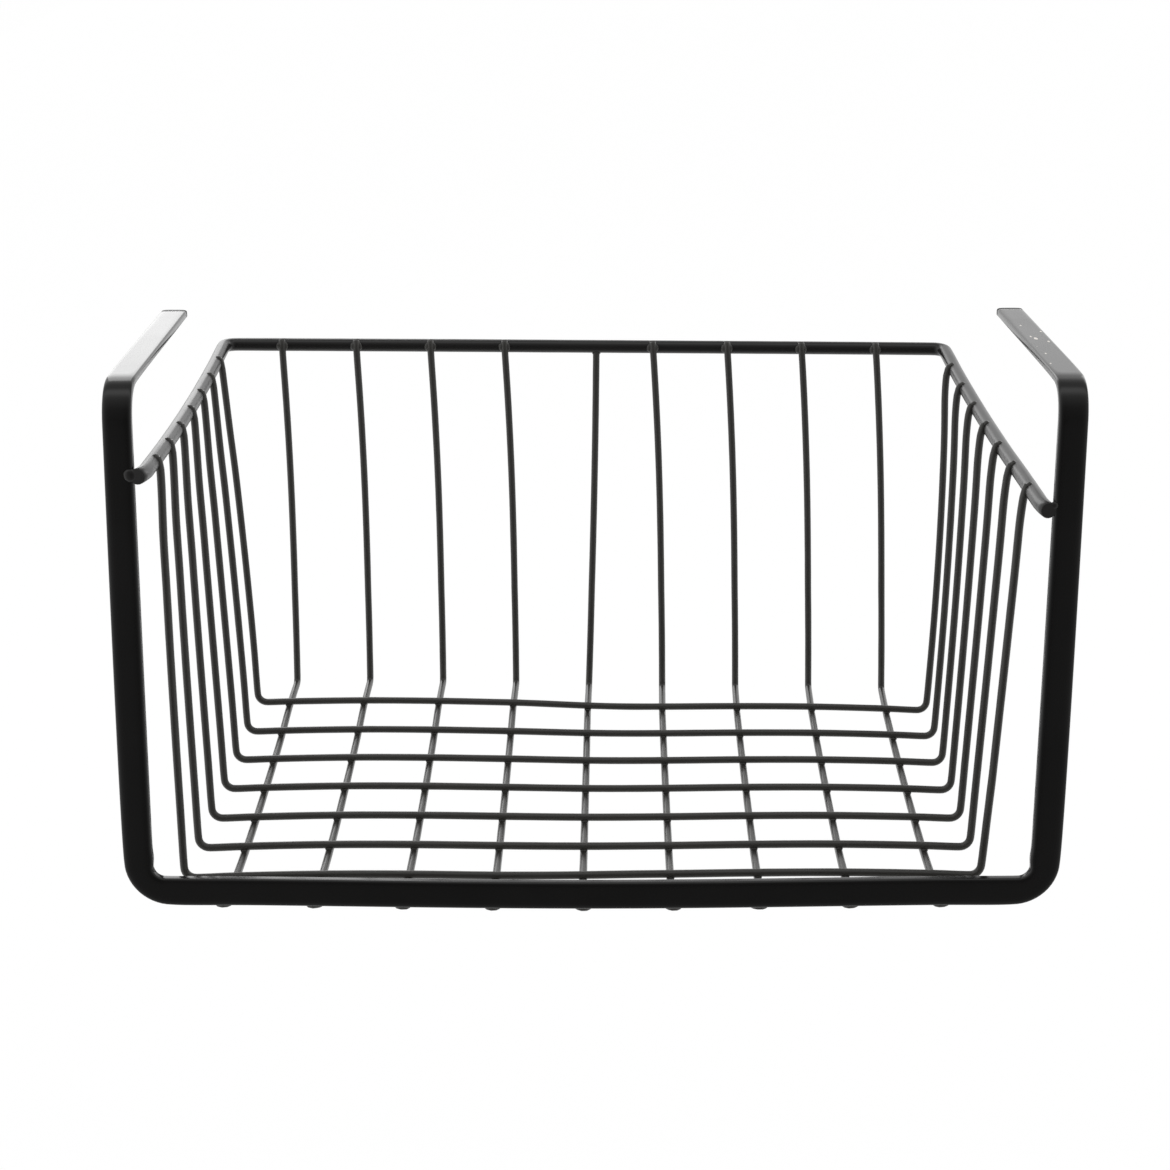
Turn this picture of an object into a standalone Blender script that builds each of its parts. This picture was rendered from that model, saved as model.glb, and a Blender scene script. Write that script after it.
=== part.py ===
"""A welded wire basket that hangs by two arms from a shelf board.

One flattened tube is bent into the front frame: two level arms that lie on the board, two
uprights and the bottom bar, with a plug in each open end. A thick wire makes the rim of the
other three sides. Seven U-shaped cross wires make the sides and the floor. Nine L-shaped
lengthwise wires run under them from the bar to the back and up to the rim.

All lengths are in metres. X runs to the right, Y from the front frame to the back, Z up.
The pieces are worked out from the middle of the bar, and the finished basket is moved to
stand on the origin. Each welded joint is drawn as a small gap between the two pieces.
"""

import math

import bmesh
import bpy
from mathutils import Vector

# Gap left between two pieces that are welded or pressed together.
JOINT_GAP = 0.0003

# Front frame, bent from one flattened tube. Its wide faces look up on the arms and forward
# on the uprights and the bar. The arms are pressed flatter. They curve down gently over a
# long run, and the bends at the bar's ends are tight on their inner edge.
TUBE_WIDTH = 0.0124
TUBE_DEPTH = 0.0050
ARM_WIDTH = 0.0120
ARM_DEPTH = 0.0040
TUBE_EDGE_RADIUS = 0.0016
TUBE_WALL = 0.0010
FRAME_WIDTH = 0.4002
FRAME_HEIGHT = 0.2207
ARM_REACH = 0.1613
ARM_BEND_RUN = 0.0165
ARM_BEND_DROP = 0.0170
CORNER_OUTER_RADIUS = 0.0200
CORNER_INNER_RADIUS = 0.0050
# The hand-made frame is a little out of true: its top leans right, both arms turn left
# towards their tips and the bar hangs in the middle.
FRAME_LEAN = 0.00215
LEFT_ARM_TURN = 0.0026
RIGHT_ARM_TURN = 0.0018
BAR_SAG = 0.0019

# Plugs in the ends of the arms.
PLUG_HEAD_LENGTH = 0.0030
PLUG_EDGE_RADIUS = 0.0010
PLUG_SHANK_LENGTH = 0.0090
PLUG_CLEARANCE = 0.0003

# Rim wire. Heights are those of its centreline above the bar's, at the front ends and the
# back corners: the rim is twisted, and its sides bow down. Its front ends stand a little
# ahead of the uprights and dip. Its back corners are inset from the frame's outer edges.
RIM_DIAMETER = 0.0061
RIM_BACK_DEPTH = 0.2886
RIM_BACK_INSET = 0.0135
RIM_BACK_SHIFT = -0.0046
RIM_CORNER_RADIUS = 0.0060
RIM_FRONT_LEFT_HEIGHT = 0.1843
RIM_FRONT_RIGHT_HEIGHT = 0.1704
RIM_BACK_LEFT_HEIGHT = 0.1807
RIM_BACK_RIGHT_HEIGHT = 0.1774
RIM_SIDE_BOW = 0.0034
RIM_END_OVERHANG = 0.0009
RIM_END_DROP_LEFT = 0.0001
RIM_END_DROP_RIGHT = 0.0011

# Thin wire of the sides, floor and back.
WIRE_DIAMETER = 0.0032
WIRE_END_RISE = 0.0003

# Cross wires. The floor is inset from the frame's outer edges, and sits left of the bar's
# middle, more so at the front.
CROSS_WIRE_COUNT = 7
FIRST_CROSS_DEPTH = 0.0264
CROSS_WIRE_PITCH = 0.0368
CROSS_CORNER_RADIUS = 0.0049
FLOOR_INSET = 0.0251
FLOOR_FRONT_SHIFT = -0.0042
FLOOR_BACK_SHIFT = -0.0009
# The side walls are out of true: their tops lie skewed to the floor, front to back, they
# sway right towards the back, and they bow out below the rim.
CROSS_TOP_SKEW = 0.0012
SIDE_SWAY = 0.0018
LEFT_SIDE_BOW = 0.0016
RIGHT_SIDE_BOW = 0.0004

# Floor surface: the height of the cross wires' centrelines. It sags to a flat middle, dips
# to the right at the back, ripples from side to side and droops at its sides.
FLOOR_FRONT_HEIGHT = -0.0036
FLOOR_SAG = 0.0031
FLOOR_FLAT_SHARE = 0.3400
FLOOR_TWIST = 0.0017
FLOOR_RIPPLE = 0.0005
FLOOR_RIPPLE_PITCH = 0.2000
FLOOR_EDGE_DROOP = 0.0008
FLOOR_EDGE_SHARE = 0.3000

# Lengthwise wires, spaced evenly about a middle wire at the bar, the bend and the rim. The
# outer ones are inset from the floor's sides, and at the top from the rim's corners.
LONG_WIRE_COUNT = 9
LONG_FRONT_MIDDLE = -0.0038
LONG_FRONT_INSET = 0.0214
LONG_BEND_MIDDLE = -0.0031
LONG_BEND_INSET = 0.0178
LONG_TOP_MIDDLE = -0.0067
LONG_TOP_INSET = 0.0330
LONG_BEND_RADIUS = 0.0055
LONG_FRONT_DROP = 0.00065
BACK_SWAY = 0.0007
# The middle wire strays: its top is off to the right and butts on the rim from below.
STRAY_WIRE = 4
STRAY_SHIFT = 0.0084

# Fineness of the meshes.
BEND_STEPS = 7
TUBE_EDGE_STEPS = 3
BAR_STEPS = 8
SIDE_STEPS = 6
WIRE_ROUNDNESS = 4
RIM_ROUNDNESS = 4
MERGE_DISTANCE = 0.00001
SHARP_ANGLE = math.radians(40)

# Enamel and plug finishes: colour, roughness, metallic.
ENAMEL_COLOUR = (0.011, 0.011, 0.010, 1.0)
ENAMEL_ROUGHNESS = 0.38
PLUG_COLOUR = (0.016, 0.016, 0.016, 1.0)
PLUG_ROUGHNESS = 0.55

# Sizes that follow from the ones above.
TUBE_BACK = TUBE_DEPTH / 2
RIM_RADIUS = RIM_DIAMETER / 2
WIRE_RADIUS = WIRE_DIAMETER / 2
UPRIGHT_OFFSET = (FRAME_WIDTH - TUBE_WIDTH) / 2
TUBE_END_DEPTH = ARM_REACH - PLUG_HEAD_LENGTH - JOINT_GAP
RIM_BACK_WIDTH = FRAME_WIDTH - 2 * RIM_BACK_INSET
FLOOR_WIDTH = FRAME_WIDTH - 2 * FLOOR_INSET
RIM_TO_WIRE = RIM_RADIUS + JOINT_GAP + WIRE_RADIUS
WIRE_TO_WIRE = WIRE_DIAMETER + JOINT_GAP
CROSS_SPAN = CROSS_WIRE_PITCH * (CROSS_WIRE_COUNT - 1)
LAST_CROSS_DEPTH = FIRST_CROSS_DEPTH + CROSS_SPAN
BACK_WALL_DEPTH = RIM_BACK_DEPTH - RIM_TO_WIRE
LONG_GAPS = LONG_WIRE_COUNT - 1
LONG_FRONT_PITCH = (FLOOR_WIDTH - 2 * LONG_FRONT_INSET) / LONG_GAPS
LONG_BEND_PITCH = (FLOOR_WIDTH - 2 * LONG_BEND_INSET) / LONG_GAPS
LONG_TOP_PITCH = (RIM_BACK_WIDTH - 2 * LONG_TOP_INSET) / LONG_GAPS

LEFT = -1
RIGHT = 1


def blend(start, end, share):
    """Return the value a share of the way from start to end."""
    return start + (end - start) * share


def shares(steps):
    """Return the inner division points of a run cut into equal steps, as shares of it."""
    return [step / steps for step in range(1, steps)]


def bulge(share):
    """Return a smooth hump that is zero at shares 0 and 1 and one halfway."""
    return 4 * share * (1 - share)


def upright_x(side, height):
    """Return the X of an upright's centreline at a height above the bar."""
    return side * UPRIGHT_OFFSET + FRAME_LEAN * height / FRAME_HEIGHT


def bar_height(x):
    """Return the height of the sagging bar's centreline."""
    return -BAR_SAG * (1 + math.cos(math.pi * x / UPRIGHT_OFFSET)) / 2


def floor_height(x, y):
    """Return the height of the cross wires' centrelines at a place on the floor."""
    share = min(max((y - FIRST_CROSS_DEPTH) / CROSS_SPAN, 0), 1)
    beyond_flat = max(abs(2 * share - 1) - FLOOR_FLAT_SHARE, 0) / (1 - FLOOR_FLAT_SHARE)
    sag = FLOOR_SAG * (1 - beyond_flat ** 2)
    twist = FLOOR_TWIST * share ** 2 * x / (FLOOR_WIDTH / 2)
    ripple = FLOOR_RIPPLE * math.cos(2 * math.pi * x / FLOOR_RIPPLE_PITCH)
    from_edge = 1 - abs(x) / (FLOOR_WIDTH / 2)
    droop = FLOOR_EDGE_DROOP * max(1 - from_edge / FLOOR_EDGE_SHARE, 0) ** 2
    return FLOOR_FRONT_HEIGHT - sag - twist - ripple - droop


def rim_front_height(side):
    """Return the height of the rim's front end on one side."""
    return RIM_FRONT_LEFT_HEIGHT if side == LEFT else RIM_FRONT_RIGHT_HEIGHT


def rim_front_x(side):
    """Return the X of the rim's front end, which is welded to the upright's inner edge."""
    inner_edge = upright_x(side, rim_front_height(side)) - side * TUBE_WIDTH / 2
    return inner_edge - side * (JOINT_GAP + RIM_RADIUS)


def rim_back_corner(side):
    """Return the point where the rim's side and back centrelines meet."""
    height = RIM_BACK_LEFT_HEIGHT if side == LEFT else RIM_BACK_RIGHT_HEIGHT
    return Vector((RIM_BACK_SHIFT + side * RIM_BACK_WIDTH / 2, RIM_BACK_DEPTH, height))


def rim_side_point(side, y):
    """Return the point of the rim's side centreline at a depth behind the upright."""
    start = Vector((rim_front_x(side), TUBE_BACK, rim_front_height(side)))
    share = (y - TUBE_BACK) / (RIM_BACK_DEPTH - TUBE_BACK)
    point = start.lerp(rim_back_corner(side), share)
    point.z -= RIM_SIDE_BOW * bulge(share)
    return point


def rim_back_height(x):
    """Return the height of the rim's back run at an X."""
    left = rim_back_corner(LEFT)
    right = rim_back_corner(RIGHT)
    return blend(left.z, right.z, (x - left.x) / (right.x - left.x))


def long_wire_x(index, share):
    """Return the X of a lengthwise wire at a share of the way from the bar to its bend."""
    place = index - LONG_GAPS / 2
    front = LONG_FRONT_MIDDLE + place * LONG_FRONT_PITCH
    bend = LONG_BEND_MIDDLE + place * LONG_BEND_PITCH
    return blend(front, bend, share)


def long_wire_x_at(index, y):
    """Return the X of a lengthwise wire at a depth on the floor."""
    return long_wire_x(index, y / BACK_WALL_DEPTH)


def rounded(corner, radius, before, after):
    """Return points on an arc that rounds a corner between two neighbouring points."""
    inward = (before - corner).normalized()
    outward = (after - corner).normalized()
    half_opening = inward.angle(outward) / 2
    bisector = (inward + outward).normalized()
    centre = corner + bisector * radius / math.sin(half_opening)
    start = corner + inward * radius / math.tan(half_opening) - centre
    sweep = math.pi - 2 * half_opening
    ahead = -inward * radius
    turns = [sweep * step / BEND_STEPS for step in range(BEND_STEPS + 1)]
    return [centre + start * math.cos(turn) + ahead * math.sin(turn) for turn in turns]


def eased(corner, before, before_reach, after, after_reach):
    """Return points on a curve that eases a corner, starting and ending at two reaches."""
    start = (before - corner).normalized() * before_reach
    end = (after - corner).normalized() * after_reach
    steps = [step / BEND_STEPS for step in range(BEND_STEPS + 1)]
    return [corner + start * (1 - share) ** 2 + end * share ** 2 for share in steps]


def bent_path(stops):
    """Return the points of a wire given its stops, each a point and a bend radius."""
    points = []
    for index, (point, radius) in enumerate(stops):
        if radius:
            points += rounded(point, radius, stops[index - 1][0], stops[index + 1][0])
        else:
            points.append(point)
    return points


def tube_outline(width, depth, inset):
    """Return the points of the tube's flat section, moved inwards all round by an inset."""
    radius = TUBE_EDGE_RADIUS - inset
    across = width / 2 - TUBE_EDGE_RADIUS
    along = depth / 2 - TUBE_EDGE_RADIUS
    points = []
    for quarter, (x, y) in enumerate(((across, along), (-across, along),
                                      (-across, -along), (across, -along))):
        for step in range(TUBE_EDGE_STEPS + 1):
            angle = math.pi / 2 * (quarter + step / TUBE_EDGE_STEPS)
            points.append(Vector((x + radius * math.cos(angle),
                                  y + radius * math.sin(angle), 0)))
    return points


def link(thing, collection):
    """Put an object in a collection and return it."""
    collection.objects.link(thing)
    return thing


def new_curve(name, points, closed, dimensions):
    """Return curve data with one polyline through the points."""
    data = bpy.data.curves.new(name, "CURVE")
    data.dimensions = dimensions
    spline = data.splines.new("POLY")
    spline.points.add(len(points) - 1)
    for spot, point in zip(spline.points, points):
        spot.co = (*point, 1)
    spline.use_cyclic_u = closed
    return data


def as_mesh(name, source, collection):
    """Return a mesh object with the evaluated shape of a source object, which is removed."""
    bpy.context.view_layer.update()
    graph = bpy.context.evaluated_depsgraph_get()
    mesh = bpy.data.meshes.new_from_object(source.evaluated_get(graph))
    data = source.data
    bpy.data.objects.remove(source)
    if isinstance(data, bpy.types.Curve):
        bpy.data.curves.remove(data)
    mesh.name = name
    return link(bpy.data.objects.new(name, mesh), collection)


def round_off(thing, material):
    """Give a piece its material and smooth shading with sharp ends."""
    thing.data.materials.clear()
    thing.data.materials.append(material)
    for face in thing.data.polygons:
        face.use_smooth = True
    thing.data.set_sharp_from_angle(angle=SHARP_ANGLE)


def enamel(name, colour, roughness):
    """Return a Principled material for one kind of piece."""
    material = bpy.data.materials.new(name)
    material.use_nodes = True
    shader = material.node_tree.nodes["Principled BSDF"]
    shader.inputs["Base Color"].default_value = colour
    shader.inputs["Roughness"].default_value = roughness
    shader.inputs["Metallic"].default_value = 0
    material.diffuse_color = colour
    return material


def make_wire(name, stops, diameter, roundness, material, collection):
    """Return a solid round wire bent along its stops."""
    data = new_curve(name, bent_path(stops), False, "3D")
    data.bevel_depth = diameter / 2
    data.bevel_resolution = roundness
    data.use_fill_caps = True
    wire = as_mesh(name, link(bpy.data.objects.new(name, data), collection), collection)
    weld = wire.modifiers.new("weld", "WELD")
    weld.merge_threshold = MERGE_DISTANCE
    round_off(wire, material)
    return wire


def tube_side(side, turn):
    """Return the stops of one side of the tube, from its arm's end down to the bar.

    Each stop is the tube's outer edge, its inner edge and its depth there.
    """
    top = Vector((upright_x(side, FRAME_HEIGHT), 0, FRAME_HEIGHT))
    tip = Vector((top.x - turn * TUBE_END_DEPTH / ARM_REACH, TUBE_END_DEPTH, FRAME_HEIGHT))
    foot = Vector((upright_x(side, 0), 0, 0))
    half_arm = Vector((side * ARM_WIDTH / 2, 0, 0))
    stops = [(tip + half_arm, tip - half_arm, ARM_DEPTH)]
    for step, point in enumerate(eased(top, tip, ARM_BEND_RUN, foot, ARM_BEND_DROP)):
        depth = blend(ARM_DEPTH, TUBE_DEPTH, step / BEND_STEPS)
        stops.append((point + half_arm, point - half_arm, depth))
    under = Vector((0, 0, -TUBE_WIDTH / 2))
    half_corner = Vector((side * TUBE_WIDTH / 2, 0, under.z))
    outer = rounded(foot + half_corner, CORNER_OUTER_RADIUS, top + half_arm, under)
    inner = rounded(foot - half_corner, CORNER_INNER_RADIUS, top - half_arm, -under)
    return stops + [(*edges, TUBE_DEPTH) for edges in zip(outer, inner)]


def sweep_tube(stops):
    """Return a mesh of the tube's skin: a ring of points round each stop."""
    mesh = bmesh.new()
    middles = [(outer + inner) / 2 for outer, inner, depth in stops]
    previous = []
    for index, (outer, inner, depth) in enumerate(stops):
        middle = middles[index]
        before = middles[max(index - 1, 0)]
        after = middles[min(index + 1, len(stops) - 1)]
        ahead = ((middle - before).normalized() + (after - middle).normalized()).normalized()
        across = (outer - inner).normalized()
        face = across.cross(ahead).normalized()
        ring = [mesh.verts.new(middle + across * spot.x + face * spot.y)
                for spot in tube_outline((outer - inner).length, depth, 0)]
        for place, corner in enumerate(previous):
            beside = (place + 1) % len(ring)
            mesh.faces.new((corner, ring[place], ring[beside], previous[beside]))
        previous = ring
    skin = bpy.data.meshes.new("front_frame")
    mesh.to_mesh(skin)
    mesh.free()
    return skin


def make_front_frame(material, collection):
    """Return the bent flat tube, open at both arm ends."""
    stops = tube_side(LEFT, LEFT_ARM_TURN)
    half_height = Vector((0, 0, TUBE_WIDTH / 2))
    for share in shares(BAR_STEPS):
        x = blend(-UPRIGHT_OFFSET, UPRIGHT_OFFSET, share)
        middle = Vector((x, 0, bar_height(x)))
        stops.append((middle - half_height, middle + half_height, TUBE_DEPTH))
    stops += reversed(tube_side(RIGHT, RIGHT_ARM_TURN))
    frame = link(bpy.data.objects.new("front_frame", sweep_tube(stops)), collection)
    wall = frame.modifiers.new("wall", "SOLIDIFY")
    wall.thickness = TUBE_WALL
    wall.offset = -1
    round_off(frame, material)
    return frame


def flat_bar(name, inset, length, collection):
    """Return a solid bar of the tube's section that starts at its origin and runs along Z."""
    data = new_curve(name, tube_outline(ARM_WIDTH, ARM_DEPTH, inset), True, "2D")
    data.fill_mode = "BOTH"
    data.extrude = length / 2
    bar = as_mesh(name, link(bpy.data.objects.new(name, data), collection), collection)
    for corner in bar.data.vertices:
        corner.co.z += length / 2
    weld = bar.modifiers.new("weld", "WELD")
    weld.merge_threshold = MERGE_DISTANCE
    return bar


def make_plug(name, side, turn, material, collection, tools):
    """Return an arm's end plug: a rounded head flush with the tube and a shank inside it."""
    plug = flat_bar(name, 0, PLUG_HEAD_LENGTH, collection)
    edge = plug.modifiers.new("edge", "BEVEL")
    edge.width = PLUG_EDGE_RADIUS
    edge.segments = 3
    edge.limit_method = "WEIGHT"
    far_edges = plug.data.attributes.new("bevel_weight_edge", "FLOAT", "EDGE")
    corners = plug.data.vertices
    for line, weight in zip(plug.data.edges, far_edges.data):
        at_tip = all(corners[index].co.z > PLUG_HEAD_LENGTH / 2 for index in line.vertices)
        weight.value = 1 if at_tip else 0
    shank_length = PLUG_SHANK_LENGTH + PLUG_HEAD_LENGTH / 2
    shank = flat_bar(name + "_shank", TUBE_WALL + PLUG_CLEARANCE, shank_length, tools)
    shank.location.z = -PLUG_SHANK_LENGTH
    shank.hide_render = True
    shank.display_type = "WIRE"
    shank.parent = plug
    join = plug.modifiers.new("shank", "BOOLEAN")
    join.operation = "UNION"
    join.solver = "EXACT"
    join.object = shank
    depth = ARM_REACH - PLUG_HEAD_LENGTH
    x = upright_x(side, FRAME_HEIGHT) - turn * depth / ARM_REACH
    plug.location = (x, depth, FRAME_HEIGHT)
    plug.rotation_euler = (-math.pi / 2, 0, 0)
    round_off(plug, material)
    return plug


def make_rim(material, collection):
    """Return the rim wire, from the left upright round the back to the right upright."""
    def side_points(side, drop):
        front = rim_side_point(side, TUBE_BACK)
        end = Vector((front.x, -TUBE_BACK - RIM_END_OVERHANG, front.z - drop))
        points = [end, front]
        for share in shares(SIDE_STEPS):
            points.append(rim_side_point(side, blend(TUBE_BACK, RIM_BACK_DEPTH, share)))
        return [(point, 0) for point in points]

    stops = side_points(LEFT, RIM_END_DROP_LEFT)
    stops.append((rim_back_corner(LEFT), RIM_CORNER_RADIUS))
    stops.append((rim_back_corner(RIGHT), RIM_CORNER_RADIUS))
    stops += reversed(side_points(RIGHT, RIM_END_DROP_RIGHT))
    return make_wire("rim_wire", stops, RIM_DIAMETER, RIM_ROUNDNESS, material, collection)


def make_cross_wire(number, material, collection):
    """Return one U-shaped wire: down the left side, across the floor, up the right side."""
    share = number / (CROSS_WIRE_COUNT - 1)
    y = FIRST_CROSS_DEPTH + number * CROSS_WIRE_PITCH
    middle = blend(FLOOR_FRONT_SHIFT, FLOOR_BACK_SHIFT, share)

    def side_points(side, bow):
        top_y = y + side * CROSS_TOP_SKEW
        rim = rim_side_point(side, top_y)
        wall_x = rim.x - side * RIM_TO_WIRE
        shoulder = Vector((wall_x, top_y, rim.z - RIM_RADIUS))
        foot_x = middle + side * FLOOR_WIDTH / 2
        foot = Vector((foot_x, y, floor_height(foot_x, y)))
        stops = [(Vector((wall_x, top_y, rim.z + RIM_RADIUS + WIRE_END_RISE)), 0),
                 (shoulder, 0)]
        for fall in shares(SIDE_STEPS):
            point = shoulder.lerp(foot, fall)
            point.x += SIDE_SWAY * share ** 2 * bulge(fall)
            point.x += side * bow * bulge(math.sqrt(fall))
            stops.append((point, 0))
        stops.append((foot, CROSS_CORNER_RADIUS))
        return stops

    stops = side_points(LEFT, LEFT_SIDE_BOW)
    for index in range(LONG_WIRE_COUNT):
        x = long_wire_x_at(index, y)
        stops.append((Vector((x, y, floor_height(x, y))), 0))
    stops += reversed(side_points(RIGHT, RIGHT_SIDE_BOW))
    name = "cross_wire_%d" % (number + 1)
    return make_wire(name, stops, WIRE_DIAMETER, WIRE_ROUNDNESS, material, collection)


def make_long_wire(index, material, collection):
    """Return one L-shaped wire: from the bar, back under the floor and up to the rim."""
    stray = index == STRAY_WIRE
    front_x = long_wire_x(index, 0)
    front = Vector((front_x, TUBE_BACK + JOINT_GAP,
                    bar_height(front_x) - TUBE_WIDTH / 2 - LONG_FRONT_DROP))
    bend_x = long_wire_x(index, 1)
    bend = Vector((bend_x, BACK_WALL_DEPTH,
                   floor_height(bend_x, LAST_CROSS_DEPTH) - WIRE_TO_WIRE))
    top_x = LONG_TOP_MIDDLE + (index - LONG_GAPS / 2) * LONG_TOP_PITCH
    if stray:
        top_x += STRAY_SHIFT
        top = Vector((top_x, RIM_BACK_DEPTH, rim_back_height(top_x) - RIM_RADIUS - JOINT_GAP))
    else:
        top = Vector((top_x, BACK_WALL_DEPTH,
                      rim_back_height(top_x) + RIM_RADIUS + WIRE_END_RISE))

    stops = [(front, 0)]
    for number in range(CROSS_WIRE_COUNT):
        y = FIRST_CROSS_DEPTH + number * CROSS_WIRE_PITCH
        x = long_wire_x_at(index, y)
        stops.append((Vector((x, y, floor_height(x, y) - WIRE_TO_WIRE)), 0))
    stops.append((bend, LONG_BEND_RADIUS))
    for rise in shares(SIDE_STEPS):
        point = bend.lerp(top, rise)
        point.x += BACK_SWAY * bulge(rise)
        stops.append((point, 0))
    stops.append((top, 0))
    name = "lengthwise_wire_%d" % (index + 1)
    return make_wire(name, stops, WIRE_DIAMETER, WIRE_ROUNDNESS, material, collection)


def stand_on_origin(pieces):
    """Move the pieces so that the foot of their common box is centred on the origin."""
    bpy.context.view_layer.update()
    graph = bpy.context.evaluated_depsgraph_get()
    corners = []
    for piece in pieces:
        solid = piece.evaluated_get(graph)
        corners += [solid.matrix_world @ Vector(corner) for corner in solid.bound_box]
    low = Vector([min(corner[axis] for corner in corners) for axis in range(3)])
    high = Vector([max(corner[axis] for corner in corners) for axis in range(3)])
    foot = Vector(((low.x + high.x) / 2, (low.y + high.y) / 2, low.z))
    for piece in pieces:
        piece.location -= foot


def main():
    """Build every piece of the basket."""
    for thing in list(bpy.data.objects):
        bpy.data.objects.remove(thing)
    basket = bpy.data.collections.new("hanging_wire_basket")
    tools = bpy.data.collections.new("cutters")
    for collection in (basket, tools):
        bpy.context.scene.collection.children.link(collection)

    tube_enamel = enamel("tube_enamel", ENAMEL_COLOUR, ENAMEL_ROUGHNESS)
    rim_enamel = enamel("rim_enamel", ENAMEL_COLOUR, ENAMEL_ROUGHNESS)
    wire_enamel = enamel("wire_enamel", ENAMEL_COLOUR, ENAMEL_ROUGHNESS)
    plug_plastic = enamel("plug_plastic", PLUG_COLOUR, PLUG_ROUGHNESS)

    pieces = [make_front_frame(tube_enamel, basket),
              make_plug("arm_plug_left", LEFT, LEFT_ARM_TURN, plug_plastic, basket, tools),
              make_plug("arm_plug_right", RIGHT, RIGHT_ARM_TURN, plug_plastic, basket, tools),
              make_rim(rim_enamel, basket)]
    for number in range(CROSS_WIRE_COUNT):
        pieces.append(make_cross_wire(number, wire_enamel, basket))
    for index in range(LONG_WIRE_COUNT):
        pieces.append(make_long_wire(index, wire_enamel, basket))
    stand_on_origin(pieces)


main()
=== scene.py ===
"""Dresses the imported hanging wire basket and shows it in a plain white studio.

All lengths are in metres in the part's own frame: X to the right, Y from the open front to
the back wall, Z up. The tube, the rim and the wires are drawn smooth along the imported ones,
the wires' ends are pressed into the rim, and the weld metal is added at every joint.
"""

import logging
import math
from dataclasses import dataclass, field
from enum import Enum

import bmesh
import bpy
from mathutils import Euler, Matrix, Vector, noise

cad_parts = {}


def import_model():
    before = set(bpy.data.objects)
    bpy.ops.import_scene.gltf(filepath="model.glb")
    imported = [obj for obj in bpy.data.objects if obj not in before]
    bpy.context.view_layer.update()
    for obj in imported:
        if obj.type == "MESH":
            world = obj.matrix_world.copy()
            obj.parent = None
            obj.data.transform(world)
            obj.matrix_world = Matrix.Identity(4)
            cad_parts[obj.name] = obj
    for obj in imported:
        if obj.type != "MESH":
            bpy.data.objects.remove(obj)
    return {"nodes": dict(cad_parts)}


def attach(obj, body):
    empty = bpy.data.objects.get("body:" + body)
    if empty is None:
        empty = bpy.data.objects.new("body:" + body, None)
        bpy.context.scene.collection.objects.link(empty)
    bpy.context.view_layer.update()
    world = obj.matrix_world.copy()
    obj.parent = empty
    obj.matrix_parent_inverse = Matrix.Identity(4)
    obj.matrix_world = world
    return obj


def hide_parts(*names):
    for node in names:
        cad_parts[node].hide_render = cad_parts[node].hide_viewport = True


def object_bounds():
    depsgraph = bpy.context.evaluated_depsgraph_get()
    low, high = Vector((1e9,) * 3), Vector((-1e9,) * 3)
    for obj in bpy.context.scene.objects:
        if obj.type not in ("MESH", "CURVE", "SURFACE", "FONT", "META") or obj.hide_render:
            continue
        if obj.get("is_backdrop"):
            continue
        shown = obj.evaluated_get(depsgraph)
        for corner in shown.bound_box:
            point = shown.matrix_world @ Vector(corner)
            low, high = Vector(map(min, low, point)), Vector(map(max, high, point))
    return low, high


MM = 0.001
BODY = "root"
SAME_POINT = 0.002 * MM
CAP_ANGLE = math.radians(60)
# A wire's end cap is smaller than this part of its greatest length.
CAP_PART = 50
LEAST_KNOT = 1e-6
# A stretch may be this part of a step too long before it is cut once more, so that its
# count doesn't hang on the last digit of a length.
STEP_SLACK = 0.001

log = logging.getLogger("basket")


class Slot(Enum):
    """Names of material slots for the pieces' finishes; placing a piece does not use them."""

    TUBE = "tube_enamel"
    RIM = "rim_enamel"
    WIRE = "wire_enamel"
    PLUG = "plug_plastic"


class Side(Enum):
    """A side of the basket, as its direction along X."""

    LEFT = -1
    RIGHT = 1


def linear(code: str) -> tuple[float, float, float, float]:
    """Turn an sRGB hex colour into a linear one.

    Args:
        code: six hex digits after a hash sign.

    Returns:
        Red, green, blue and an alpha of 1, linear.
    """
    channels = []
    for start in (1, 3, 5):
        value = int(code[start:start + 2], 16) / 255
        dark = value <= 0.04045
        channels.append(value / 12.92 if dark else ((value + 0.055) / 1.055) ** 2.4)
    return (channels[0], channels[1], channels[2], 1.0)


def add_node(tree: bpy.types.NodeTree, kind: str, settings: dict | None = None,
             links: dict | None = None) -> bpy.types.Node:
    """Add a node to a tree with its settings and links.

    Args:
        tree: the node tree.
        kind: the node's type name.
        settings: values by property name, or by input name or number.
        links: output sockets by the input name or number that they feed.

    Returns:
        The new node.
    """
    node = tree.nodes.new(kind)
    for key, value in (settings or {}).items():
        if isinstance(key, str) and hasattr(node, key):
            setattr(node, key, value)
        else:
            node.inputs[key].default_value = value
    for key, socket in (links or {}).items():
        tree.links.new(socket, node.inputs[key])
    return node


def blank_material(name: str) -> tuple[bpy.types.Material, bpy.types.NodeTree]:
    """Return a new material and its emptied node tree."""
    material = bpy.data.materials.new(name)
    material.use_nodes = True
    material.node_tree.nodes.clear()
    return material, material.node_tree


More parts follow.
